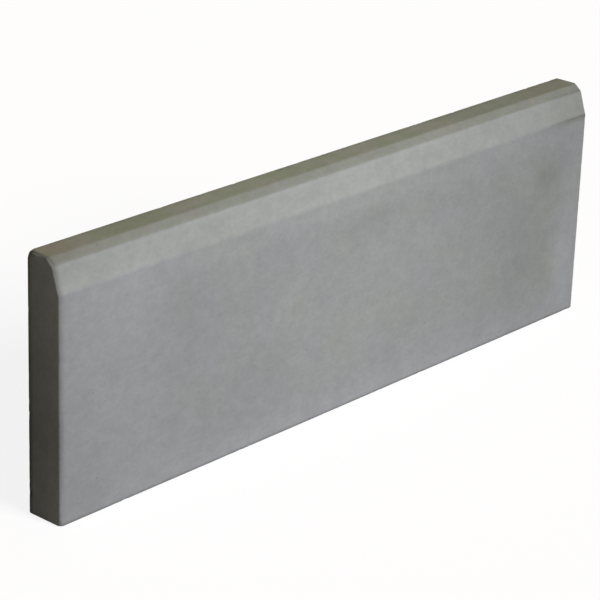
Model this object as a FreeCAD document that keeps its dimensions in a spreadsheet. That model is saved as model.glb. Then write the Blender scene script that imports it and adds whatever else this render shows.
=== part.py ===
import FreeCAD, Part
import os

import Sketcher
from FreeCAD import Vector

# A precast concrete edging kerb, cast in one piece.
# X runs along the kerb, -Y is the show face, +Y the back, +Z is up.
# The origin is the middle of the foot. Sizes are in millimetres.
SIZES = [
    ("KerbLength", 900, "end to end"),
    ("KerbHeight", 300, "foot to top"),
    ("KerbThickness", 50, "show face to back"),
    ("UpperSplayRun", 10, "upper splay, measured across the kerb"),
    ("UpperSplayDrop", 8, "upper splay, measured down"),
    ("LowerSplayRun", 10, "lower splay, measured across the kerb"),
    ("LowerSplayDrop", 30, "lower splay, measured down"),
    ("SplayRadius", 6, "softening of the three long edges of the splays"),
    ("ArrisRadius", 3, "rounding of every outer edge, left by the mould"),
]

NODE = "kerb"
PARTS_FOLDER = "parts"


def make_sheet(doc):
    """The driving dimensions, one per row: name, value, what it is."""
    sheet = doc.addObject("Spreadsheet::Sheet", "Dimensions")
    for row, (alias, value, meaning) in enumerate(SIZES, start=1):
        sheet.set(f"A{row}", alias)
        sheet.set(f"B{row}", str(value))
        sheet.set(f"C{row}", meaning)
        sheet.setAlias(f"B{row}", alias)
    doc.recompute()
    return sheet


def origin_plane(body, role):
    """The body's own origin plane of that role."""
    return next(feature for feature in body.Origin.OriginFeatures if feature.Role == role)


def section_corners(sheet):
    """The section's corners as (across, up), from the front of the foot round to the face."""
    half = sheet.KerbThickness / 2
    top = sheet.KerbHeight
    break_line = -half + sheet.LowerSplayRun
    return [
        Vector(-half, 0, 0),
        Vector(half, 0, 0),
        Vector(half, top, 0),
        Vector(break_line + sheet.UpperSplayRun, top, 0),
        Vector(break_line, top - sheet.UpperSplayDrop, 0),
        Vector(-half, top - sheet.UpperSplayDrop - sheet.LowerSplayDrop, 0),
    ]


def bind(sketch, constraint, name, cell):
    """Adds a constraint under a name and ties its value to a cell of the sheet."""
    index = sketch.addConstraint(constraint)
    sketch.renameConstraint(index, name)
    sketch.setExpression(f"Constraints.{name}", f"Dimensions.{cell}")


def make_section(body, sheet):
    """The section: an upright slab whose top front edge is cut back by two splays."""
    sketch = body.newObject("Sketcher::SketchObject", "KerbSection")
    sketch.AttachmentSupport = [(origin_plane(body, "YZ_Plane"), "")]
    sketch.MapMode = "FlatFace"

    corners = section_corners(sheet)
    for start, end in zip(corners, corners[1:] + corners[:1]):
        sketch.addGeometry(Part.LineSegment(start, end), False)
    foot, back, top, upper_splay, lower_splay, face = range(len(corners))
    first, last = 1, 2
    for line in range(len(corners)):
        following = (line + 1) % len(corners)
        sketch.addConstraint(Sketcher.Constraint("Coincident", line, last, following, first))

    root, root_point = -1, 1
    sketch.addConstraint(Sketcher.Constraint("Symmetric", foot, first, foot, last, root, root_point))
    sketch.addConstraint(Sketcher.Constraint("Horizontal", foot))
    sketch.addConstraint(Sketcher.Constraint("Vertical", back))
    sketch.addConstraint(Sketcher.Constraint("Horizontal", top))
    sketch.addConstraint(Sketcher.Constraint("Vertical", face))

    across = [
        ("Thickness", foot, first, foot, last, "KerbThickness"),
        ("UpperRun", upper_splay, last, upper_splay, first, "UpperSplayRun"),
        ("LowerRun", lower_splay, last, lower_splay, first, "LowerSplayRun"),
    ]
    upwards = [
        ("Height", back, first, back, last, "KerbHeight"),
        ("UpperDrop", upper_splay, last, upper_splay, first, "UpperSplayDrop"),
        ("LowerDrop", lower_splay, last, lower_splay, first, "LowerSplayDrop"),
    ]
    for kind, table in (("DistanceX", across), ("DistanceY", upwards)):
        for name, start_line, start_end, end_line, end_end, cell in table:
            distance = getattr(sheet, cell)
            constraint = Sketcher.Constraint(
                kind, start_line, start_end, end_line, end_end, distance
            )
            bind(sketch, constraint, name, cell)
    return sketch


def long_edges(shape, sheet, corners):
    """Names of the edges that run the kerb's whole length through those section corners."""
    names = []
    for number, edge in enumerate(shape.Edges, start=1):
        ends = [vertex.Point for vertex in edge.Vertexes]
        spans_length = abs(abs(ends[0].x - ends[-1].x) - sheet.KerbLength) < 1e-6
        at_corner = any(
            all(abs(p.y - c.x) < 1e-6 and abs(p.z - c.y) < 1e-6 for p in ends) for c in corners
        )
        if spans_length and at_corner:
            names.append(f"Edge{number}")
    return names


def end_edges(shape, sheet):
    """Names of the edges round the kerb's two flat ends."""
    names = []
    for number, edge in enumerate(shape.Edges, start=1):
        lowest, highest = edge.BoundBox.XMin, edge.BoundBox.XMax
        on_end = highest - lowest < 1e-6 and abs(abs(highest) - sheet.KerbLength / 2) < 1e-6
        if on_end:
            names.append(f"Edge{number}")
    return names


def round_edges(body, base, edge_names, name, cell):
    """Rounds the named edges of a feature with the radius in a cell."""
    fillet = body.newObject("PartDesign::Fillet", name)
    fillet.Base = (base, edge_names)
    fillet.setExpression("Radius", f"Dimensions.{cell}")
    return fillet


def make_kerb(doc, sheet):
    """The kerb: its section drawn out to length, then rounded along its edges."""
    body = doc.addObject("PartDesign::Body", "KerbBody")
    body.Label = NODE
    section = make_section(body, sheet)

    casting = body.newObject("PartDesign::Pad", "Casting")
    casting.Profile = section
    casting.SideType = "Symmetric"
    casting.setExpression("Length", "Dimensions.KerbLength")
    section.Visibility = False
    doc.recompute()

    corners = section_corners(sheet)
    outer_corners, splay_corners = corners[:3], corners[3:]
    splay_edges = long_edges(casting.Shape, sheet, splay_corners)
    softened = round_edges(body, casting, splay_edges, "SplayEdges", "SplayRadius")
    doc.recompute()

    outer_edges = long_edges(softened.Shape, sheet, outer_corners)
    outer_edges += end_edges(softened.Shape, sheet)
    round_edges(body, softened, outer_edges, "OuterArrises", "ArrisRadius")
    doc.recompute()
    return body


def check(doc, body):
    """Stops if a feature failed or the kerb is not one valid solid."""
    failed = [o.Name for o in doc.Objects if "Invalid" in o.State or "Error" in o.State]
    if failed:
        raise RuntimeError("failed features: " + ", ".join(failed))
    if body.Shape.isNull() or not body.Shape.isValid() or len(body.Shape.Solids) != 1:
        raise RuntimeError("the kerb is not one valid solid")


def main():
    """Builds the kerb and writes its solid."""
    doc = FreeCAD.newDocument("ConcreteKerb")
    sheet = make_sheet(doc)
    body = make_kerb(doc, sheet)
    check(doc, body)
    os.makedirs(PARTS_FOLDER, exist_ok=True)
    body.Shape.exportStep(os.path.join(PARTS_FOLDER, body.Label + ".step"))
    box = body.Shape.BoundBox
    print(f"{body.Label}: {box.XLength:.1f} x {box.YLength:.1f} x {box.ZLength:.1f} mm")


main()
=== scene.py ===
"""A precast concrete edging kerb, cast in one piece, standing on a pale studio floor.

X runs along the kerb, -Y is its show face, +Y its back and +Z is up, in metres. The kerb's
overall size comes from the frame. The casting here is a fine skin on the same section, with
the mould's unevenness, air holes, worn arrises and weathered top of the real thing. Its colour
also carries painted shade: along the arrises, in the pinholes and round the left end.
"""

import logging
import math
from dataclasses import dataclass, field
from enum import Enum
from random import Random

import bpy
from mathutils import Matrix, Vector, noise


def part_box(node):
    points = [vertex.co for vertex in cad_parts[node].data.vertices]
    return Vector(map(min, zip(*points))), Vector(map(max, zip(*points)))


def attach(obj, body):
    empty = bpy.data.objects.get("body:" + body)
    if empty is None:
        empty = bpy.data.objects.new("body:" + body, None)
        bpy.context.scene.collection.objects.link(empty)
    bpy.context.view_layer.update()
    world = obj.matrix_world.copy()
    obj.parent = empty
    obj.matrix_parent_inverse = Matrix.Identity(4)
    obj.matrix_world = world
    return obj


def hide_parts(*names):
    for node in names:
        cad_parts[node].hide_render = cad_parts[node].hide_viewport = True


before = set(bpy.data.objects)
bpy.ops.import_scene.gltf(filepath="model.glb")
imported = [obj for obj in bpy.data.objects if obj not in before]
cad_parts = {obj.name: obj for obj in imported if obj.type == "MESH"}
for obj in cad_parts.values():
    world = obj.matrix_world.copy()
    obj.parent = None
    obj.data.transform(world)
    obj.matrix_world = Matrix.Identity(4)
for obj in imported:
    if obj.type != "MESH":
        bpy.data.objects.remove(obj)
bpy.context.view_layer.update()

LOG = logging.getLogger("kerb")
MM = 0.001
NODE = "kerb"
PIECE = "kerb_casting"
BODY = "root"

# Places and angles that differ by less than these are the same.
SAME_PLACE = 1e-7
SAME_ANGLE = 1e-9
RIGHT_ANGLE = math.pi / 2
# An air hole has two rim points for each side of its cell.
RIM_POINTS = 8
# The concrete's grain is drawn out by this along the kerb.
GRAIN_LENGTH = 1.35

Socket = bpy.types.NodeSocket
Feed = Socket | float | tuple
Span = tuple[float, float]
Colour = tuple[float, ...]


class Zone(Enum):
    """A stretch of the kerb's surface that is cast and weathered in its own way."""

    FOOT = "foot"
    BACK = "back"
    TOP = "top"
    UPPER_SPLAY = "upper splay"
    LOWER_SPLAY = "lower splay"
    FACE = "face"
    ARRIS = "arris"
    UPPER_EDGE = "edge between the top and the upper splay"
    BREAK = "edge between the two splays"
    LOWER_EDGE = "edge between the lower splay and the face"
    END = "end"


SPLAY_EDGES = (Zone.UPPER_EDGE, Zone.BREAK, Zone.LOWER_EDGE)
HIDDEN = (Zone.BACK, Zone.END, Zone.FOOT)
# Where a soft patch lies, with the rounded edge that goes with it.
ON_TOP = (Zone.TOP, Zone.UPPER_EDGE)
ON_UPPER_SPLAY = (Zone.UPPER_SPLAY,)
ON_LOWER_SPLAY = (Zone.BREAK, Zone.LOWER_SPLAY)
ON_FACE = (Zone.FACE, Zone.LOWER_EDGE)


class Mark(Enum):
    """What each point of the casting carries for its finish."""

    # Lightness also carries the painted shade round the left end.
    LIGHTNESS = "lightness"
    OLIVE = "olive"
    COOL = "cool"
    WARM = "warm"
    FILM = "film"
    SPLAY = "splay"
    # Painted shade darkening the arrises, where their roundings turn from the light.
    ARRIS_SHADE = "edge_wear_and_shade"


@dataclass(frozen=True)
class RimPoint:
    """A point of the section's outline, with the way out of the concrete there."""

    place: Vector
    outward: Vector
    zone: Zone


@dataclass(frozen=True)
class Corner:
    """A corner of the section and the straight stretch that follows it.

    place is (across, up). radius rounds the corner in arc_steps, and the stretch that
    runs on to the next corner is divided into steps and belongs to zone.
    """

    place: Vector
    radius: float
    arc_steps: int
    arc_zone: Zone
    steps: int
    zone: Zone


@dataclass(frozen=True)
class KerbSection:
    """The kerb's section: an upright slab whose top front edge is cut back by two splays.

    A grid fills each end, so the steps from the back over the top to the middle of the
    break add up to foot_steps, and those from there down to the foot to back_steps.
    """

    thickness: float
    height: float
    upper_splay_run: float = 10 * MM
    upper_splay_drop: float = 8 * MM
    lower_splay_run: float = 10 * MM
    lower_splay_drop: float = 30 * MM
    splay_radius: float = 6 * MM
    arris_radius: float = 3 * MM
    arris_steps: int = 4
    foot_steps: int = 16
    back_steps: int = 100
    top_steps: int = 8
    upper_edge_steps: int = 3
    upper_splay_steps: int = 3
    break_steps: int = 4
    lower_splay_steps: int = 11
    lower_edge_steps: int = 2
    face_steps: int = 85

    def corners(self) -> list[Corner]:
        """Lists the section's corners, from the front of the foot round by the back.

        Returns:
            The six corners, counter-clockwise as seen from the right end.
        """
        half = self.thickness / 2
        break_line = -half + self.lower_splay_run
        break_height = self.height - self.upper_splay_drop
        arris, splay = self.arris_radius, self.splay_radius
        steps = self.arris_steps
        return [
            Corner(Vector((-half, 0)), arris, steps, Zone.ARRIS, self.foot_steps, Zone.FOOT),
            Corner(Vector((half, 0)), arris, steps, Zone.ARRIS, self.back_steps, Zone.BACK),
            Corner(Vector((half, self.height)), arris, steps, Zone.ARRIS, self.top_steps, Zone.TOP),
            Corner(Vector((break_line + self.upper_splay_run, self.height)), splay,
                   self.upper_edge_steps, Zone.UPPER_EDGE, self.upper_splay_steps, Zone.UPPER_SPLAY),
            Corner(Vector((break_line, break_height)), splay,
                   self.break_steps, Zone.BREAK, self.lower_splay_steps, Zone.LOWER_SPLAY),
            Corner(Vector((-half, break_height - self.lower_splay_drop)), splay,
                   self.lower_edge_steps, Zone.LOWER_EDGE, self.face_steps, Zone.FACE),
        ]

    def outline(self) -> list[RimPoint]:
        """Works out the outline's points, each corner rounded by its own arc.

        Returns:
            The points, starting at the first straight point of the foot.
        """
        corners = self.corners()
        befores, afters = corners[-1:] + corners[:-1], corners[1:] + corners[:1]
        rounded = []
        for before, corner, after in zip(befores, corners, afters):
            arriving = (corner.place - before.place).normalized()
            leaving = (after.place - corner.place).normalized()
            turn = arriving.angle(leaving)
            start = corner.place - arriving * corner.radius * math.tan(turn / 2)
            out = Vector((arriving.y, -arriving.x))
            centre = start - out * corner.radius
            normals = [turned(out, turn * k / corner.arc_steps) for k in range(corner.arc_steps + 1)]
            rounded.append([RimPoint(centre + n * corner.radius, n, corner.arc_zone) for n in normals])

        points = []
        for corner, arc, next_arc in zip(corners, rounded, rounded[1:] + rounded[:1]):
            start, end = arc[-1], next_arc[0]
            for k in range(corner.steps):
                place = start.place.lerp(end.place, k / corner.steps)
                points.append(RimPoint(place, start.outward, corner.zone))
            points.extend(next_arc[:-1])
        return points


def turned(vector: Vector, angle: float) -> Vector:
    """Turns a flat vector (across, up) counter-clockwise by an angle in radians."""
    cosine, sine = math.cos(angle), math.sin(angle)
    return Vector((vector.x * cosine - vector.y * sine, vector.x * sine + vector.y * cosine))


def eased(share: float) -> float:
    """Eases a share in and out between 0 and 1."""
    share = min(1.0, max(0.0, share))
    return share * share * (3 - 2 * share)


@dataclass(frozen=True)
class Knock:
    """A place where a corner or an arris was knocked in handling.

    It reaches that far, is that deep in its middle and is darker there by a share of its own.
    """

    name: str
    place: tuple[float, float, float]
    reach: float
    depth: float
    darkening: float = 0.0

    def weight(self, place: Vector) -> float:
        """Gives how much of the knock there is at a place, from 0 to 1."""
        share = (place - Vector(self.place)).length / self.reach
        return (1 - share * share) ** 2 if share < 1 else 0.0


KNOCKS = (
    Knock("worn top back corner, left", (-0.450, 0.025, 0.300), 9 * MM, 2.0 * MM),
    Knock("worn top arris, left", (-0.450, 0.002, 0.300), 14 * MM, 0.9 * MM),
    Knock("worn foot corner, left", (-0.450, -0.025, 0.000), 6 * MM, 1.8 * MM),
    Knock("nick low on the back arris, left", (-0.450, 0.024, 0.025), 7 * MM, 0.3 * MM, darkening=0.6),
)


@dataclass(frozen=True)
class MouldRelief:
    """How far the cast surface falls short of the mould's true planes.

    Each layer is (depth, wavelength), in metres, and only ever takes concrete away. Nibbles
    bite the arrises where they pass nibble_share, with finer ones laid over them.
    """

    layers: tuple[Span, ...] = (
        (0.30 * MM, 210 * MM),
        (0.06 * MM, 38 * MM),
        (0.018 * MM, 8 * MM),
    )
    nibble: Span = (0.9 * MM, 9 * MM)
    nibble_share: float = 0.28
    fine_nibble_share: float = 0.5
    fine_nibbles: float = 3.0
    splay_edge_wear: float = 0.35
    knocks: tuple[Knock, ...] = KNOCKS

    def depth(self, place: Vector, zone: Zone) -> float:
        """Gives the depth that is missing at a point.

        Args:
            place: The point on the true surface.
            zone: Where the point lies.

        Returns:
            The depth to take away, in metres, never below nought.
        """
        missing = 0.0
        for depth, wavelength in self.layers:
            missing += depth * (0.5 + 0.5 * noise.noise(place / wavelength))
        edge_wear_and_shade = 1.0 if zone is Zone.ARRIS else self.splay_edge_wear if zone in SPLAY_EDGES else 0.0
        if edge_wear_and_shade:
            depth, wavelength = self.nibble
            fine = noise.noise(place / wavelength * self.fine_nibbles)
            bite = noise.noise(place / wavelength) + self.fine_nibble_share * fine
            missing += edge_wear_and_shade * depth * max(0.0, bite - self.nibble_share)
        return missing + sum(knock.depth * knock.weight(place) for knock in self.knocks)


@dataclass
class Cell:
    """One face of the casting's grid: its corners' numbers and where it lies."""

    corners: tuple[int, ...]
    zone: Zone


@dataclass(frozen=True)
class AirHoles:
    """Small open air holes, left where bubbles lay against the mould.

    share is how many of a zone's cells have one. A hole's radius is drawn from a span, within
    room_share of its cell, and its depth from a span of shares of its radius. waist and
    floor are shares of its radius too, and waist_fall is how deep the waist lies in it.
    """

    seed: int = 41
    share: dict[Zone, float] = field(default_factory=lambda: {
        Zone.FACE: 0.0022, Zone.LOWER_SPLAY: 0.002, Zone.UPPER_SPLAY: 0.002, Zone.TOP: 0.005,
        Zone.BACK: 0.010, Zone.END: 0.010, Zone.FOOT: 0.012,
    })
    radius: Span = (0.35 * MM, 1.05 * MM)
    room_share: float = 0.88
    depth_share: Span = (0.4, 1.3)
    unevenness: float = 0.16
    waist: float = 0.82
    waist_fall: float = 0.55
    floor: float = 0.45

    def chosen(self, cells: list[Cell]) -> list[Cell]:
        """Picks the cells of the casting that have a hole.

        Args:
            cells: Every cell of the casting.

        Returns:
            The cells with a hole, in order.
        """
        draw = Random(self.seed)
        drawn = [cell for cell in cells if draw.random() < self.share.get(cell.zone, 0.0)]
        return [cell for cell in drawn if len(cell.corners) == 4]


@dataclass(frozen=True)
class Cloud:
    """A soft patch of lighter, darker or tinted concrete.

    x and up are its middle, wide and tall its half sizes, lightness the share by which it is
    lighter, olive how far it leans to olive, and cool how far to blue, or below nought to brown.
    It lies on the named zones alone, or on all of them where none is named. A straight one
    keeps its line, where the others wander.
    """

    name: str
    x: float
    up: float
    wide: float
    tall: float
    lightness: float = 0.0
    olive: float = 0.0
    cool: float = 0.0
    zones: tuple[Zone, ...] = ()
    straight: bool = False

    def weight(self, place: Vector, zone: Zone) -> float:
        """Gives how much of the patch there is.

        Args:
            place: The point that is asked about.
            zone: Where it lies.

        Returns:
            The patch's share there, from 0 to 1.
        """
        if self.zones and zone not in self.zones:
            return 0.0
        across = (place.x - self.x) / self.wide
        upward = (place.z - self.up) / self.tall
        return math.exp(-(across * across + upward * upward))


CLOUDS = (
    Cloud("dry middle, seen all along the top", -0.02, 0.2, 0.3, 0.6, lightness=0.11),
    Cloud("pale upper left", -0.41, 0.23, 0.09, 0.06, lightness=0.045),
    Cloud("dull foot at the left end", -0.45, 0.04, 0.07, 0.1, lightness=-0.105),
    Cloud("bluish left end", -0.42, 0.12, 0.14, 0.26, cool=1.4, zones=(*ON_FACE, Zone.ARRIS)),
    Cloud("warm rim, left", -0.45, 0.15, 0.006, 0.3, cool=-1.5, straight=True,
          zones=(Zone.FACE, Zone.ARRIS)),
    Cloud("dull patch on the left", -0.27, 0.19, 0.07, 0.065, lightness=-0.03, olive=0.05),
    Cloud("dull patch left of the middle", -0.13, 0.16, 0.07, 0.12, lightness=-0.055),
    Cloud("faint smudge under the splay", 0.01, 0.226, 0.055, 0.014, lightness=-0.05, olive=0.08),
    Cloud("dull patch right of the middle", 0.235, 0.205, 0.06, 0.09, lightness=-0.035),
    Cloud("damp patch near the right end", 0.335, 0.12, 0.075, 0.085, lightness=-0.088, olive=0.04),
    Cloud("smudge near the right end", 0.378, 0.198, 0.021, 0.017, lightness=-0.1, olive=0.12),
    Cloud("dull patch under the splay, right", 0.405, 0.235, 0.06, 0.03, lightness=-0.04),
    Cloud("dull right end", 0.45, 0.15, 0.2, 0.5, lightness=-0.07),
    Cloud("dull spot low, right of the middle", 0.072, 0.055, 0.022, 0.02, lightness=-0.065),
    Cloud("bluish spot, right of the middle", 0.15, 0.107, 0.03, 0.022, lightness=-0.055, cool=0.3),
    Cloud("dry edge at the right", 0.428, 0.09, 0.019, 0.085, lightness=0.1, cool=0.6, straight=True),
    Cloud("pale band under the splay", -0.09, 0.252, 0.4, 0.018, lightness=0.085),
    Cloud("dry edge along the foot", -0.05, 0.006, 0.5, 0.016, lightness=0.055, cool=0.6),
    Cloud("bluish foot of the face", 0.02, 0.014, 0.42, 0.032, cool=0.8),
    Cloud("dull lower left", -0.205, 0.075, 0.1, 0.052, lightness=-0.05),
    Cloud("dull streak on the left", -0.26, 0.15, 0.035, 0.11, lightness=-0.033),
    Cloud("pale streak on the left", -0.34, 0.22, 0.04, 0.06, lightness=0.05),
    Cloud("pale spot left of the middle", -0.11, 0.145, 0.05, 0.03, lightness=0.08),
    Cloud("dull spot under the splay, middle", 0.062, 0.224, 0.04, 0.02, lightness=-0.045),
    Cloud("dull spot high, right of the middle", 0.157, 0.221, 0.03, 0.018, lightness=-0.065),
    Cloud("faint spot high, right of the middle", 0.196, 0.195, 0.025, 0.018, lightness=-0.035),
    Cloud("dull spot lower, right of the middle", 0.118, 0.08, 0.03, 0.018, lightness=-0.028),
    Cloud("dull lower right", 0.25, 0.07, 0.12, 0.035, lightness=-0.04),
    Cloud("dull upper end, right", 0.41, 0.23, 0.02, 0.035, lightness=-0.046),
    Cloud("dry spot low at the right", 0.405, 0.08, 0.018, 0.035, lightness=0.08, straight=True),
    Cloud("dull upper end, left", -0.44, 0.24, 0.024, 0.05, lightness=-0.05, zones=ON_FACE),
    Cloud("dull ends of the splays, left", -0.45, 0.283, 0.05, 0.02, lightness=-0.09),
    Cloud("dull ends of the splays, right", 0.45, 0.28, 0.04, 0.025, lightness=-0.06),
    Cloud("dull right end of the top", 0.38, 0.3, 0.27, 0.1, lightness=-0.07, zones=ON_TOP),
    Cloud("dull end of the top, left", -0.35, 0.3, 0.1, 0.1, lightness=-0.03, cool=-0.3, zones=ON_TOP),
    Cloud("pale spot of the top, left", -0.19, 0.3, 0.04, 0.1, lightness=0.03, zones=ON_TOP),
    Cloud("pale right half of the upper splay", 0.24, 0.296, 0.33, 0.1, lightness=0.06,
          zones=ON_UPPER_SPLAY),
    Cloud("dull upper splay", 0.0, 0.296, 2.0, 0.1, lightness=-0.055, zones=ON_UPPER_SPLAY),
    Cloud("pale line along the break", -0.1, 0.29, 0.33, 0.0028, lightness=0.045,
          zones=ON_LOWER_SPLAY, straight=True),
    Cloud("pale middle of the lower splay", 0.06, 0.277, 0.2, 0.1, lightness=0.04,
          zones=ON_LOWER_SPLAY),
    Cloud("olive end of the lower splay, right", 0.44, 0.27, 0.06, 0.03, lightness=-0.02,
          olive=0.3, zones=(*ON_LOWER_SPLAY, Zone.LOWER_EDGE)),
    Cloud("dull line under the splay, right", 0.45, 0.2605, 0.08, 0.004, lightness=-0.13,
          olive=0.3, zones=ON_FACE, straight=True),
    Cloud("brown tip of the top, left", -0.426, 0.3, 0.024, 0.1, cool=-0.65, zones=ON_TOP),
    Cloud("warm tip of the upper splay, left", -0.435, 0.296, 0.05, 0.1, lightness=-0.02, cool=-0.38,
          zones=ON_UPPER_SPLAY),
    Cloud("brown tip of the top, right", 0.405, 0.3, 0.045, 0.1, cool=-0.6, zones=ON_TOP),
)


@dataclass(frozen=True)
class SurfaceMarks:
    """The marks that each point of the casting carries for its finish.

    A shade is the share by which a place is darker, a run how far it reaches in from an edge
    and a fade how softly it ends. The end's marks, back_edge_shade and the rim's marks paint
    shade round the left end, and the arrises' darkening is painted shade as well.
    splay_edge_span is the stretch of x in which the edges of the splays grow dull.
    """

    section: KerbSection
    length: float
    clouds: tuple[Cloud, ...] = CLOUDS
    knocks: tuple[Knock, ...] = KNOCKS
    warp: float = 14 * MM
    warp_wavelength: float = 45 * MM
    hidden_share: float = 0.3
    upper_splay_film: float = 0.50
    film_run: float = 10 * MM
    film_lip: float = 1.3 * MM
    end_film: float = 0.35
    # Painted light and shade on the left end, which lies in the lamps' shade.
    end_shade: float = 0.18
    end_level: float = -0.055
    end_rise: float = 0.46
    end_dull_height: float = 0.34
    # Painted shade along the back edge of the left end.
    back_edge_shade: float = 0.33
    back_edge_run: float = 7.5 * MM
    back_edge_fade: float = 2.5 * MM
    top_rim_shade: float = 0.12
    top_rim_run: float = 9 * MM
    # How much painted shade darkens the arrises other than along the top's back edge.
    other_arris_shade: float = 0.55
    # Painted shade on the rounding round the left end and the strip beside it, deeper higher up.
    rim_shade: float = 0.33
    rim_rise: float = 0.28
    rim_run: float = 6.8 * MM
    rim_fade: float = 4 * MM
    rim_start: float = 1.5 * MM
    break_shade: float = 0.12
    lower_edge_shade: float = 0.16
    splay_edge_span: Span = (0.36, 0.43)

    def at(self, place: Vector, zone: Zone) -> dict[Mark, float]:
        """Works out the marks at a point.

        Args:
            place: The point on the true surface.
            zone: Where the point lies.

        Returns:
            The marks' values.
        """
        moved = place + noise.noise_vector(place / self.warp_wavelength) * self.warp
        weights = [(c, c.weight(place if c.straight else moved, zone)) for c in self.clouds]
        share = self.hidden_share if zone in HIDDEN else 1.0
        cool = sum(cloud.cool * w for cloud, w in weights) * share
        lightness = sum(cloud.lightness * w for cloud, w in weights) * share
        return {
            Mark.LIGHTNESS: lightness + self.tone(place, zone),
            Mark.OLIVE: sum(cloud.olive * w for cloud, w in weights) * share,
            Mark.COOL: max(0.0, cool),
            Mark.WARM: max(0.0, -cool),
            Mark.FILM: self.film(place, zone),
            Mark.SPLAY: 1.0 if zone is Zone.LOWER_SPLAY else 0.0,
            Mark.ARRIS_SHADE: self.edge_wear_and_shade(place, zone),
        }

    def at_left_end(self, place: Vector) -> bool:
        """Tells whether a point lies on the left end or on the rounding that frames it."""
        return place.x < self.section.arris_radius - self.length / 2

    def edge_wear_and_shade(self, place: Vector, zone: Zone) -> float:
        """Gives how much painted shade darkens an arris, where its rounding turns from the light.

        Args:
            place: The point on the true surface.
            zone: Where the point lies.

        Returns:
            The painted shade, from 0 to 1: most along the top's back edge, none off the arrises.
        """
        if zone is not Zone.ARRIS or self.at_left_end(place):
            return 0.0
        return 1.0 if place.y > 0 and place.z > self.section.height / 2 else self.other_arris_shade

    def tone(self, place: Vector, zone: Zone) -> float:
        """Gives how much lighter a point is for where it lies by the edges, with the painted shade round
        the left end.

        Args:
            place: The point on the true surface.
            zone: Where the point lies.

        Returns:
            The share by which it is lighter, below nought where it is duller.
        """
        half, height = self.section.thickness / 2, self.section.height
        from_end = place.x + self.length / 2
        # Darker where a knock lies, by its own share.
        tone = -sum(knock.darkening * knock.weight(place) for knock in self.knocks)
        # Painted light and shade on the left end: lighter towards the front, the top and the foot,
        # darkest a third of the way up, towards the back and along the back edge.
        if self.at_left_end(place):
            edge = eased((self.back_edge_run - (half - place.y)) / self.back_edge_fade)
            off_dull = abs(place.z / height - self.end_dull_height)
            tone += self.end_level + self.end_rise * off_dull
            tone -= self.end_shade * place.y / half + self.back_edge_shade * edge
        # Painted shade along the left end's rounded edge and the strip beside it, deeper higher up.
        if zone is not Zone.END:
            shade = self.rim_shade + self.rim_rise * (place.z / height) ** 2
            fading = eased((self.rim_run - from_end) / self.rim_fade)
            tone -= shade * min(1.0, from_end / self.rim_start) * fading
        if zone is Zone.TOP:
            from_back = half - self.section.arris_radius - place.y
            tone -= self.top_rim_shade * eased(1 - from_back / self.top_rim_run)
        if zone in (Zone.BREAK, Zone.LOWER_EDGE):
            shade = self.break_shade if zone is Zone.BREAK else self.lower_edge_shade
            start, end = self.splay_edge_span
            tone -= shade * eased((place.x - start) / (end - start))
        return tone

    def film(self, place: Vector, zone: Zone) -> float:
        """Gives how thick the weather's film is.

        Args:
            place: The point on the true surface.
            zone: Where the point lies.

        Returns:
            The film's thickness, from 0 to 1: whole on the top, thinner on the upper splay.
        """
        below_top = self.section.height - place.z
        if zone is Zone.TOP:
            return 1.0
        if zone is Zone.UPPER_SPLAY:
            return self.upper_splay_film
        if zone is Zone.UPPER_EDGE:
            thinned = 1 - (1 - self.upper_splay_film) * below_top / self.film_lip
            return max(self.upper_splay_film, thinned)
        if zone is Zone.BREAK:
            return 0.0 if below_top > self.section.upper_splay_drop else self.upper_splay_film
        if zone is Zone.ARRIS:
            onto_rim = min(1.0, (place.x + self.length / 2) / self.section.arris_radius)
            kept = self.end_film + (1 - self.end_film) * onto_rim ** 2
            return max(0.0, 1 - below_top / self.film_run) * kept
        return 0.0


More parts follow.
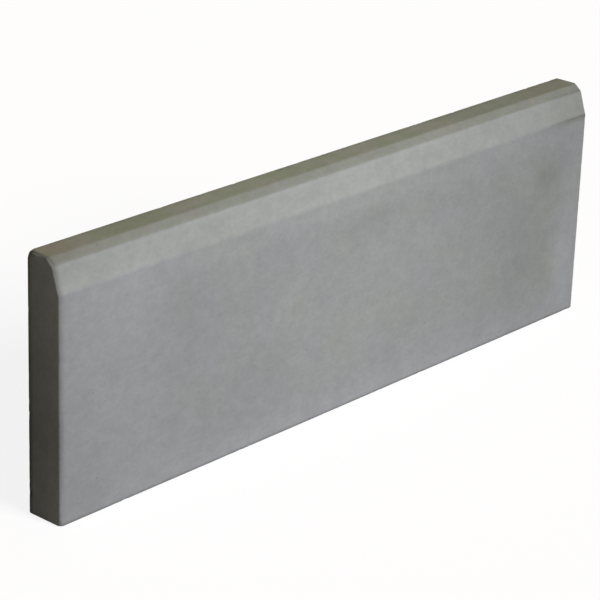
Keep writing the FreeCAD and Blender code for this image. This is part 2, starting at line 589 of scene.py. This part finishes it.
@dataclass
class Casting:
    """The kerb itself: a closed skin of small cells on the section, drawn out to length.

    A cell is about cell_length long. places and values hold each point's place and marks,
    cells the faces, and mouths the edges round the air holes.
    """

    section: KerbSection
    length: float
    marks: SurfaceMarks
    relief: MouldRelief = MouldRelief()
    holes: AirHoles = AirHoles()
    cell_length: float = 3 * MM
    places: list[Vector] = field(default_factory=list)
    values: list[dict[Mark, float]] = field(default_factory=list)
    cells: list[Cell] = field(default_factory=list)
    mouths: list[tuple[int, int]] = field(default_factory=list)

    def point(self, place: Vector, normal: Vector, zone: Zone) -> int:
        """Adds a point of the skin, set back by the mould's relief.

        Args:
            place: The point on the true surface.
            normal: The way out of the concrete there.
            zone: Where the point lies.

        Returns:
            The point's number.
        """
        self.places.append(place - normal * self.relief.depth(place, zone))
        self.values.append(self.marks.at(place, zone))
        return len(self.places) - 1

    def stations(self) -> list[Span]:
        """Lists the rings along the kerb.

        Returns:
            Pairs of (x, lean). The lean is the angle by which the ring's normals lean out
            of the end, nought on the straight part and a right angle at the flat ends.
        """
        radius, steps = self.section.arris_radius, self.section.arris_steps
        straight = self.length / 2 - radius
        count = round(2 * straight / self.cell_length)
        leans = [RIGHT_ANGLE * k / steps for k in range(steps, 0, -1)]
        left = [(-straight - radius * math.sin(lean), -lean) for lean in leans]
        middle = [(-straight + 2 * straight * k / count, 0.0) for k in range(count + 1)]
        right = [(-x, -lean) for x, lean in reversed(left)]
        return left + middle + right

    def ring(self, x: float, lean: float, outline: list[RimPoint]) -> list[int]:
        """Adds one ring of points round the kerb.

        Args:
            x: Where the ring lies.
            lean: How far its normals lean out of the end, in radians.
            outline: The section's outline.

        Returns:
            The points' numbers. At a flat end a rounded corner shrinks to one point.
        """
        inset = self.section.arris_radius * (1 - math.cos(lean))
        at_end = abs(abs(lean) - RIGHT_ANGLE) < SAME_ANGLE
        flats = [rim.place - rim.outward * inset for rim in outline]
        places = [Vector((x, flat.x, flat.y)) for flat in flats]
        numbers: list[int] = []
        for k, (place, rim) in enumerate(zip(places, outline)):
            if at_end and numbers and (place - places[k - 1]).length < SAME_PLACE:
                numbers.append(numbers[-1])
                continue
            side = rim.outward * math.cos(lean)
            normal = Vector((math.sin(lean), side.x, side.y))
            numbers.append(self.point(place, normal, Zone.ARRIS if lean else rim.zone))
        if at_end and (places[0] - places[-1]).length < SAME_PLACE:
            merged, kept = numbers[-1], numbers[0]
            numbers = [kept if n == merged else n for n in numbers]
        return numbers

    def skin(self, outline: list[RimPoint]) -> list[list[int]]:
        """Lays the long skin from ring to ring.

        Args:
            outline: The section's outline.

        Returns:
            The rings, from the left end to the right.
        """
        stations = self.stations()
        rings = [self.ring(x, lean, outline) for x, lean in stations]
        count = len(outline)
        for (_, lean), (_, next_lean), ring, following in zip(stations, stations[1:], rings, rings[1:]):
            for k in range(count):
                along = (k + 1) % count
                corners = (ring[k], ring[along], following[along], following[k])
                distinct = tuple(dict.fromkeys(corners))
                zone = Zone.ARRIS if lean or next_lean else outline[k].zone
                if len(distinct) > 2:
                    self.cells.append(Cell(distinct, zone))
        return rings

    def end_cap(self, ring: list[int], facing: int) -> None:
        """Fills a flat end with a grid that meets its ring point for point.

        Args:
            ring: The end ring's points.
            facing: 1 for the right end and -1 for the left.
        """
        section = self.section
        across, upward = section.foot_steps, section.back_steps
        back_start = across + section.arris_steps
        top_end = back_start + upward + section.arris_steps + across
        foot = [ring[u] for u in range(across + 1)]
        back = [ring[back_start + v] for v in range(upward + 1)]
        top = [ring[top_end - u] for u in range(across + 1)]
        front = [ring[(top_end + upward - v) % len(ring)] for v in range(upward + 1)]
        normal = Vector((facing, 0, 0))
        grid = [[left] + [0] * (across - 1) + [right] for left, right in zip(front, back)]
        grid[0], grid[upward] = foot, top
        for v in range(1, upward):
            for u in range(1, across):
                place = self.between((foot, back, top, front), u, v)
                grid[v][u] = self.point(place, normal, Zone.END)
        for v in range(upward):
            for u in range(across):
                corners = (grid[v][u], grid[v][u + 1], grid[v + 1][u + 1], grid[v + 1][u])
                self.cells.append(Cell(corners[::facing], Zone.END))

    def between(self, sides: tuple[list[int], ...], u: int, v: int) -> Vector:
        """Gives a grid point inside an end, blended from its four sides.

        Args:
            sides: The points along the foot, up the back, along the top and up the front.
            u: The point's column.
            v: The point's row.

        Returns:
            The point's place on the flat end.
        """
        foot, back, top, front = sides
        a, b = u / (len(foot) - 1), v / (len(back) - 1)
        p = self.places
        rows = p[foot[u]] * (1 - b) + p[top[u]] * b
        columns = p[front[v]] * (1 - a) + p[back[v]] * a
        corners = (p[foot[0]] * (1 - a) + p[foot[-1]] * a) * (1 - b)
        corners += (p[top[0]] * (1 - a) + p[top[-1]] * a) * b
        place = rows + columns - corners
        place.x = math.copysign(self.length / 2, place.x)
        return place

    def hole_rims(self, cell: Cell, draw: Random) -> list[list[int]]:
        """Adds the points of one air hole.

        Args:
            cell: The cell that it opens in, with four corners.
            draw: The source of the hole's size and shape.

        Returns:
            The points round its mouth, its waist and its floor, each from the first corner on.
        """
        holes = self.holes
        first, second, third, fourth = (self.places[n] for n in cell.corners)
        middle = (first + second + third + fourth) / 4
        side = (second - first + third - fourth).normalized()
        other = (fourth - first + third - second).normalized()
        out = side.cross(other).normalized()
        room = min((second - first).length, (fourth - first).length) / 2
        low, high = holes.radius
        radius = min(low + (high - low) * draw.random() ** 2, holes.room_share * room)
        shallow, deep = holes.depth_share
        depth = radius * (shallow + (deep - shallow) * draw.random())
        reach = [1 + holes.unevenness * (draw.random() - 0.5) for _ in range(RIM_POINTS)]
        values = {**self.values[cell.corners[0]], Mark.ARRIS_SHADE: 0.0}
        towards_first = 2.5 * RIGHT_ANGLE
        rims = []
        for share, fall in ((1.0, 0.0), (holes.waist, holes.waist_fall), (holes.floor, 1.0)):
            start = len(self.places)
            for k in range(RIM_POINTS):
                angle = towards_first + 2 * math.pi * k / RIM_POINTS
                spoke = side * math.cos(angle) + other * math.sin(angle)
                self.places.append(middle + spoke * radius * reach[k] * share - out * depth * fall)
                self.values.append(values)
            rims.append(list(range(start, start + RIM_POINTS)))
        return rims

    def sink_hole(self, cell: Cell, draw: Random) -> list[Cell]:
        """Opens an air hole in one cell.

        Args:
            cell: The cell, with four corners.
            draw: The source of the hole's size and shape.

        Returns:
            The cells that take the first one's place.
        """
        mouth, waist, floor = self.hole_rims(cell, draw)
        made = []
        for k in range(4):
            near, far = cell.corners[k], cell.corners[(k + 1) % 4]
            here, halfway, there = (mouth[(2 * k + j) % RIM_POINTS] for j in range(3))
            for corners in ((near, halfway, here), (near, far, halfway), (far, there, halfway)):
                made.append(Cell(corners, cell.zone))
        for upper, lower in ((mouth, waist), (waist, floor)):
            for k in range(RIM_POINTS):
                following = (k + 1) % RIM_POINTS
                wall = (upper[k], upper[following], lower[following], lower[k])
                made.append(Cell(wall, cell.zone))
        made.append(Cell(tuple(floor), cell.zone))
        self.mouths.extend(zip(mouth, mouth[1:] + mouth[:1]))
        return made

    def build(self) -> bpy.types.Object:
        """Builds the casting.

        Returns:
            The kerb as one closed mesh.
        """
        outline = self.section.outline()
        rings = self.skin(outline)
        self.end_cap(rings[0], -1)
        self.end_cap(rings[-1], 1)
        draw = Random(self.holes.seed + 1)
        holed = {id(cell) for cell in self.holes.chosen(self.cells)}
        cells = []
        for cell in self.cells:
            cells.extend(self.sink_hole(cell, draw) if id(cell) in holed else [cell])
        LOG.info("air holes: %d", len(holed))

        used = sorted({n for cell in cells for n in cell.corners})
        number = {old: new for new, old in enumerate(used)}
        faces = [[number[n] for n in cell.corners] for cell in cells]
        mesh = bpy.data.meshes.new(PIECE)
        mesh.from_pydata([self.places[n] for n in used], [], faces)
        mesh.shade_smooth()
        sharp = {tuple(sorted((number[a], number[b]))) for a, b in self.mouths}
        for edge in mesh.edges:
            edge.use_edge_sharp = tuple(sorted(edge.vertices)) in sharp
        for mark in Mark:
            attribute = mesh.attributes.new(mark.value, "FLOAT", "POINT")
            attribute.data.foreach_set("value", [self.values[n][mark] for n in used])
        piece = bpy.data.objects.new(PIECE, mesh)
        bpy.context.scene.collection.objects.link(piece)
        crisp = piece.modifiers.new("flat_faces", "WEIGHTED_NORMAL")
        crisp.keep_sharp = True
        return piece


class Mix(Enum):
    """The ways in which one colour is laid over another."""

    OVER = "MIX"
    TIMES = "MULTIPLY"


class Sum(Enum):
    """The sums that a finish is worked out with."""

    PLUS = "ADD"
    LESS = "SUBTRACT"
    TIMES = "MULTIPLY"


class Bench:
    """A material's node tree, with short calls that each give back a socket."""

    def __init__(self, tree: bpy.types.NodeTree) -> None:
        """Clears the tree and keeps it."""
        self.tree = tree
        tree.nodes.clear()

    def node(self, kind: str, inputs: dict[str | int, Feed] | None = None,
             **settings: object) -> bpy.types.Node:
        """Adds a node.

        Args:
            kind: The node's type.
            inputs: What feeds its inputs: a socket, or a plain number or colour.
            settings: The node's properties.

        Returns:
            The node.
        """
        node = self.tree.nodes.new(kind)
        for name, value in settings.items():
            setattr(node, name, value)
        for name, value in (inputs or {}).items():
            if isinstance(value, Socket):
                self.tree.links.new(value, node.inputs[name])
            else:
                node.inputs[name].default_value = value
        return node

    def mark(self, mark: Mark) -> Socket:
        """Reads one of the casting's marks."""
        return self.node("ShaderNodeAttribute", attribute_name=mark.value).outputs["Fac"]

    def place(self, length: float) -> Socket:
        """Gives the place at which a texture is read.

        Args:
            length: How much longer the texture is along the kerb.

        Returns:
            The point's place on the kerb, in metres, with its X shortened to suit.
        """
        place = self.node("ShaderNodeTexCoord").outputs["Object"]
        if length == 1.0:
            return place
        inputs = {0: place, 1: (1 / length, 1.0, 1.0)}
        return self.node("ShaderNodeVectorMath", inputs, operation="MULTIPLY").outputs["Vector"]

    def noise(self, wavelength: float, detail: float = 2.0, roughness: float = 0.5,
              warp: float = 0.0, length: float = 1.0) -> Socket:
        """Adds a noise.

        Args:
            wavelength: The size of its largest blots, in metres.
            detail: How many finer layers it has.
            roughness: How strong the finer layers are.
            warp: How far it bends itself.
            length: How much longer its blots are along the kerb.

        Returns:
            The noise, about 0 to 1 round a middle of 0.5.
        """
        inputs = {
            "Vector": self.place(length), "Scale": 1 / wavelength, "Detail": detail,
            "Roughness": roughness, "Distortion": warp,
        }
        return self.node("ShaderNodeTexNoise", inputs).outputs["Fac"]

    def remap(self, value: Socket, low: float, high: float,
              to_low: float = 0.0, to_high: float = 1.0) -> Socket:
        """Stretches a range of values smoothly onto another.

        Args:
            value: What is stretched.
            low: The value that becomes to_low.
            high: The value that becomes to_high.
            to_low: The result at low and past it.
            to_high: The result at high and past it.

        Returns:
            The stretched value.
        """
        inputs = {"Value": value, "From Min": low, "From Max": high, "To Min": to_low, "To Max": to_high}
        stretched = self.node("ShaderNodeMapRange", inputs, interpolation_type="SMOOTHSTEP")
        return stretched.outputs["Result"]

    def sum(self, kind: Sum, first: Feed, second: Feed, clamp: bool = False) -> Socket:
        """Works out a sum.

        Args:
            kind: The sum.
            first: The first number.
            second: The second number.
            clamp: Whether the result is kept between 0 and 1.

        Returns:
            The result.
        """
        inputs = {0: first, 1: second}
        return self.node("ShaderNodeMath", inputs, operation=kind.value, use_clamp=clamp).outputs["Value"]

    def lay(self, way: Mix, share: Feed, under: Feed, over: Feed) -> Socket:
        """Lays one colour over another.

        Args:
            way: How it is laid.
            share: How much of it shows, from 0 to 1.
            under: The colour below.
            over: The colour on top.

        Returns:
            The colour that shows.
        """
        inputs = {"Factor": share, "A": under, "B": over}
        mixed = self.node("ShaderNodeMix", inputs, data_type="RGBA", blend_type=way.value)
        return mixed.outputs["Result"]

    def grey(self, value: Socket) -> Socket:
        """Turns a number into a grey of that level."""
        inputs = dict.fromkeys(("Red", "Green", "Blue"), value)
        return self.node("ShaderNodeCombineColor", inputs).outputs["Color"]

    def scatter(self, spacing: float, length: float = 1.0) -> tuple[Socket, bpy.types.NodeOutputs]:
        """Scatters grains, each in a cell of its own.

        Args:
            spacing: How far apart they lie, in metres.
            length: How much longer they are along the kerb.

        Returns:
            How far each point is from its grain's middle, in spacings, and three numbers
            that each grain draws for itself, by the names Red, Green and Blue.
        """
        inputs = {"Vector": self.place(length), "Scale": 1 / spacing}
        cells = self.node("ShaderNodeTexVoronoi", inputs, feature="F1")
        split = self.node("ShaderNodeSeparateColor", {"Color": cells.outputs["Color"]})
        return cells.outputs["Distance"], split.outputs


def rgba(red: float, green: float, blue: float) -> Colour:
    """Gives an opaque colour."""
    return (red, green, blue, 1.0)


@dataclass(frozen=True)
class Mottle:
    """A layer of blots of one size, lighter and darker by that swing, bent by warp."""

    size: float
    swing: float
    warp: float = 0.0
    length: float = GRAIN_LENGTH


@dataclass(frozen=True)
class CastConcrete:
    """Grey concrete off a smooth mould, mottled, with fine sand in its skin.

    Most of a noise lies in noise_span, and nearly all of it in mottle_span. Sand and pinholes
    grow with the number that each draws, across their span. fine_grain and skin_grain are
    (size, height), and heights and pinhole_depth are in units of grain_depth.
    """

    name: str = "cast_concrete"
    cement: Colour = rgba(0.296, 0.308, 0.305)
    cool: Colour = rgba(0.296, 0.305, 0.325)
    warm: Colour = rgba(0.215, 0.165, 0.130)
    olive: Colour = rgba(0.235, 0.240, 0.195)
    film_green: Colour = rgba(0.194, 0.208, 0.146)
    film_brown: Colour = rgba(0.205, 0.202, 0.157)
    splay: Colour = rgba(0.311, 0.323, 0.321)
    sand_dark: Colour = rgba(0.84, 0.83, 0.81)
    sand_light: Colour = rgba(1.10, 1.10, 1.08)
    # Painted shade inside the pinholes, multiplied in.
    pinhole_shade: Colour = rgba(0.42, 0.41, 0.39)
    noise_span: Span = (0.3, 0.7)
    tint_size: float = 70 * MM
    tint_span: Span = (0.1, 0.7)
    warm_span: Span = (0.4, 0.8)
    blot_size: float = 32 * MM
    film_span: Span = (0.97, 1.0)
    green_span: Span = (0.40, 0.60)
    mottle_span: Span = (0.2, 0.8)
    mottles: tuple[Mottle, ...] = (
        Mottle(140 * MM, 0.02, warp=0.4, length=1.0),
        Mottle(32 * MM, 0.025),
        Mottle(13 * MM, 0.045, warp=0.15),
        Mottle(5 * MM, 0.035),
    )
    # How dark the painted shade along the arrises leaves them.
    arris_shade_level: float = 0.66
    sand_spacing: float = 1.5 * MM
    dark_sand_span: Span = (0.80, 0.95)
    light_sand_span: Span = (0.86, 0.97)
    sand_strength: float = 0.22
    pinhole_spacing: float = 9 * MM
    pinhole_radius: float = 0.45 * MM
    pinhole_span: Span = (0.45, 1.0)
    pinhole_edge: float = 0.012
    roughness: Span = (0.88, 1.0)
    specular: float = 0.05
    grain_depth: float = 0.10 * MM
    fine_grain: Span = (3.2 * MM, 0.6)
    skin_grain: Span = (14 * MM, 1.2)
    pinhole_depth: float = 3.0

    def material(self) -> bpy.types.Material:
        """Makes the finish.

        Returns:
            The material, with its nodes.
        """
        material = bpy.data.materials.new(self.name)
        material.use_nodes = True
        bench = Bench(material.node_tree)
        damp = bench.noise(self.blot_size, 4, 0.6)
        shader = bench.node("ShaderNodeBsdfPrincipled", {
            "Base Color": self.colour(bench),
            "Roughness": bench.remap(damp, *self.noise_span, *self.roughness),
            "Specular IOR Level": self.specular,
            "Normal": self.grain(bench),
        })
        bench.node("ShaderNodeOutputMaterial", {"Surface": shader.outputs["BSDF"]})
        return material

    def colour(self, bench: Bench) -> Socket:
        """Builds up the colour, from the cement outwards.

        Args:
            bench: The material's bench.

        Returns:
            The colour.
        """
        tint = bench.remap(bench.noise(self.tint_size, 3), *self.noise_span, *self.tint_span)
        blue = bench.sum(Sum.PLUS, tint, bench.mark(Mark.COOL), clamp=True)
        blots = bench.noise(self.blot_size, 5, 0.65)
        patchy = bench.remap(blots, *self.noise_span, *self.film_span)
        film = bench.sum(Sum.TIMES, bench.mark(Mark.FILM), patchy)
        mossy = bench.remap(bench.noise(self.blot_size, 2, 0.6), *self.green_span)
        weather = bench.lay(Mix.OVER, mossy, self.film_brown, self.film_green)
        strength = bench.remap(tint, *self.tint_span, *self.warm_span)
        brown = bench.sum(Sum.TIMES, bench.mark(Mark.WARM), strength)
        colour = self.cement
        for share, coat in (
            (blue, self.cool),
            (bench.mark(Mark.SPLAY), self.splay),
            (bench.mark(Mark.OLIVE), self.olive),
            (film, weather),
            (brown, self.warm),
        ):
            colour = bench.lay(Mix.OVER, share, colour, coat)
        for level in self.levels(bench):
            colour = bench.lay(Mix.TIMES, 1.0, colour, bench.grey(level))
        return self.sand(bench, colour)

    def levels(self, bench: Bench) -> list[Socket]:
        """Gives the layers that make the surface lighter or darker.

        Args:
            bench: The material's bench.

        Returns:
            Levels round 1, each to be multiplied in.
        """
        # The marked lightness carries the painted shade round the left end.
        levels = [bench.sum(Sum.PLUS, bench.mark(Mark.LIGHTNESS), 1.0)]
        for mottle in self.mottles:
            blots = bench.noise(mottle.size, warp=mottle.warp, length=mottle.length)
            levels.append(bench.remap(blots, *self.mottle_span, 1 - mottle.swing, 1 + mottle.swing))
        # Painted shade along the arrises.
        levels.append(bench.remap(bench.mark(Mark.ARRIS_SHADE), 0.0, 1.0, 1.0, self.arris_shade_level))
        return levels

    def sand(self, bench: Bench, colour: Socket) -> Socket:
        """Sets dark and light grains of sand in the skin, and darkens its pinholes with painted shade.

        Args:
            bench: The material's bench.
            colour: The colour that they lie in.

        Returns:
            The colour with its grains.
        """
        _, chance = bench.scatter(self.sand_spacing, GRAIN_LENGTH)
        dark = bench.remap(chance["Red"], *self.dark_sand_span, 0.0, self.sand_strength)
        light = bench.remap(chance["Green"], *self.light_sand_span, 0.0, self.sand_strength)
        hole = self.pinholes(bench)
        # The last tint is the painted shade inside the pinholes.
        for share, tint in ((dark, self.sand_dark), (light, self.sand_light), (hole, self.pinhole_shade)):
            tinted = bench.lay(Mix.TIMES, 1.0, colour, tint)
            colour = bench.lay(Mix.OVER, share, colour, tinted)
        return colour

    def pinholes(self, bench: Bench) -> Socket:
        """Scatters pinholes.

        Args:
            bench: The material's bench.

        Returns:
            1 in a pinhole and 0 outside it.
        """
        distance, chance = bench.scatter(self.pinhole_spacing)
        largest = self.pinhole_radius / self.pinhole_spacing
        size = bench.remap(chance["Blue"], *self.pinhole_span, 0.0, largest)
        return bench.remap(bench.sum(Sum.LESS, size, distance), 0.0, self.pinhole_edge)

    def grain(self, bench: Bench) -> Socket:
        """Raises the skin's finest grain, too small for the mesh.

        Args:
            bench: The material's bench.

        Returns:
            The bumped normal.
        """
        (fine_size, fine_height), (skin_size, skin_height) = self.fine_grain, self.skin_grain
        fine = bench.sum(Sum.TIMES, bench.noise(fine_size, length=GRAIN_LENGTH), fine_height)
        skin = bench.sum(Sum.TIMES, bench.noise(skin_size, 3, length=GRAIN_LENGTH), skin_height)
        holes = bench.sum(Sum.TIMES, self.pinholes(bench), self.pinhole_depth)
        height = bench.sum(Sum.LESS, bench.sum(Sum.PLUS, fine, skin), holes)
        bump = bench.node("ShaderNodeBump", {
            "Strength": 1.0, "Distance": self.grain_depth, "Height": height,
        })
        return bump.outputs["Normal"]


@dataclass(frozen=True)
class Kerb:
    """The kerb: one casting with its finish."""

    section: KerbSection
    length: float
    finish: CastConcrete = CastConcrete()

    @classmethod
    def from_frame(cls) -> "Kerb":
        """Takes the kerb's overall size from the frame.

        Returns:
            The kerb at that size.
        """
        low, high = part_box(NODE)
        size = high - low
        return cls(KerbSection(thickness=size.y, height=size.z), size.x)

    def dress(self, piece: bpy.types.Object) -> None:
        """Gives the casting its finish."""
        piece.data.materials.append(self.finish.material())

    def build(self) -> bpy.types.Object:
        """Builds and dresses the kerb in place of its plain solid.

        Returns:
            The finished piece.
        """
        marks = SurfaceMarks(self.section, self.length)
        piece = Casting(self.section, self.length, marks).build()
        self.dress(piece)
        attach(piece, BODY)
        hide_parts(NODE)
        return piece


@dataclass(frozen=True)
class Lamp:
    """A far, soft lamp. towards points from the kerb to the lamp."""

    name: str
    towards: tuple[float, float, float]
    level: float
    softness_degrees: float
    throws_shadow: bool = True
    distance: float = 3.0

    def hang(self) -> bpy.types.Object:
        """Hangs the lamp.

        Returns:
            The lamp. At a level of 1 a white card that faces it renders white.
        """
        light = bpy.data.lights.new(self.name, "SUN")
        light.energy = self.level * math.pi
        light.angle = math.radians(self.softness_degrees)
        light.use_shadow = self.throws_shadow
        lamp = bpy.data.objects.new(self.name, light)
        lamp.rotation_euler = Vector(self.towards).to_track_quat("Z", "Y").to_euler()
        lamp.location = Vector(self.towards).normalized() * self.distance
        bpy.context.scene.collection.objects.link(lamp)
        return lamp


def seen_directly(bench: Bench) -> Socket:
    """Tells the rays that look at the background from the rest.

    Args:
        bench: The bench of the material or the world.

    Returns:
        1 for a ray that looks at it straight, by a reflection or through glass, 0 for the rest.
    """
    path = bench.node("ShaderNodeLightPath")
    seen = bench.sum(Sum.PLUS, path.outputs["Is Camera Ray"], path.outputs["Is Glossy Ray"])
    return bench.sum(Sum.PLUS, seen, path.outputs["Is Transmission Ray"], clamp=True)


@dataclass(frozen=True)
class Studio:
    """A pale floor and soft light from the front, with a fill from behind on the right."""

    floor_size: float = 40.0
    floor_colour: Colour = rgba(0.22, 0.21, 0.195)
    floor_glow: Colour = rgba(0.812, 0.813, 0.829)
    ambient: Colour = rgba(0.113, 0.099, 0.066)
    lamps: tuple[Lamp, ...] = (
        Lamp("key", (0.08, -0.80, 0.50), 0.947, 24),
        Lamp("back_fill", (0.85, 0.50, 0.20), 1.0, 30, throws_shadow=False),
    )

    def floor(self) -> bpy.types.Object:
        """Lays the floor.

        Returns:
            The floor, which looks near white and takes the kerb's shadow.
        """
        half = self.floor_size / 2
        corners = [(-half, -half, 0), (half, -half, 0), (half, half, 0), (-half, half, 0)]
        mesh = bpy.data.meshes.new("studio_floor")
        mesh.from_pydata(corners, [], [(0, 1, 2, 3)])
        floor = bpy.data.objects.new("studio_floor", mesh)
        bpy.context.scene.collection.objects.link(floor)
        material = bpy.data.materials.new("studio_floor")
        material.use_nodes = True
        bench = Bench(material.node_tree)
        matt = bench.node("ShaderNodeBsdfDiffuse", {"Color": self.floor_colour})
        glow = bench.node("ShaderNodeEmission", {
            "Color": self.floor_glow, "Strength": seen_directly(bench),
        })
        both = bench.node("ShaderNodeAddShader", {0: matt.outputs["BSDF"], 1: glow.outputs["Emission"]})
        bench.node("ShaderNodeOutputMaterial", {"Surface": both.outputs["Shader"]})
        mesh.materials.append(material)
        return floor

    def sky(self) -> None:
        """Gives the room its faint ambient light and its white surround."""
        world = bpy.data.worlds.new("studio_room")
        world.use_nodes = True
        bench = Bench(world.node_tree)
        faint = bench.node("ShaderNodeBackground", {"Color": self.ambient})
        white = bench.node("ShaderNodeBackground")
        either = bench.node("ShaderNodeMixShader", {
            0: seen_directly(bench), 1: faint.outputs["Background"], 2: white.outputs["Background"],
        })
        bench.node("ShaderNodeOutputWorld", {"Surface": either.outputs["Shader"]})
        bpy.context.scene.world = world

    def build(self) -> None:
        """Sets up the whole studio."""
        self.floor()
        self.sky()
        for lamp in self.lamps:
            lamp.hang()
            LOG.info("lamp %s", lamp.name)


@dataclass(frozen=True)
class Viewpoint:
    """Where the camera stands: to the front left of the kerb and above it.

    lens and sensor are in millimetres. The azimuth turns the camera's look from +Y towards +X.
    """

    aim: tuple[float, float, float] = (-0.0538, 0.0, 0.1427)
    distance: float = 2.931
    azimuth_degrees: float = 48.55
    elevation_degrees: float = 21.87
    roll_degrees: float = 1.98
    lens: float = 153.60
    sensor: float = 36.0

    def build(self) -> bpy.types.Object:
        """Sets up the camera.

        Returns:
            The camera, which is the scene's own.
        """
        azimuth = math.radians(self.azimuth_degrees)
        elevation = math.radians(self.elevation_degrees)
        look = Vector((math.sin(azimuth) * math.cos(elevation),
                       math.cos(azimuth) * math.cos(elevation), -math.sin(elevation)))
        data = bpy.data.cameras.new("camera")
        data.lens = self.lens
        data.sensor_width = self.sensor
        camera = bpy.data.objects.new("camera", data)
        level = look.to_track_quat("-Z", "Y").to_matrix()
        roll = Matrix.Rotation(math.radians(self.roll_degrees), 3, "Z")
        camera.rotation_euler = (level @ roll).to_euler()
        camera.location = Vector(self.aim) - look * self.distance
        bpy.context.scene.collection.objects.link(camera)
        bpy.context.scene.camera = camera
        return camera


def report(piece: bpy.types.Object) -> None:
    """Reports a piece's name and how many triangles it has."""
    triangles = sum(len(polygon.vertices) - 2 for polygon in piece.data.polygons)
    LOG.info("piece %s: %d points, %d triangles", piece.name, len(piece.data.vertices), triangles)


def main() -> None:
    """Builds the kerb, the studio round it and the camera, in that order."""
    logging.basicConfig(level=logging.INFO, format="%(name)s: %(message)s")
    bpy.context.scene.view_settings.view_transform = "Standard"
    report(Kerb.from_frame().build())
    Studio().build()
    Viewpoint().build()


if __name__ == "__main__":
    main()
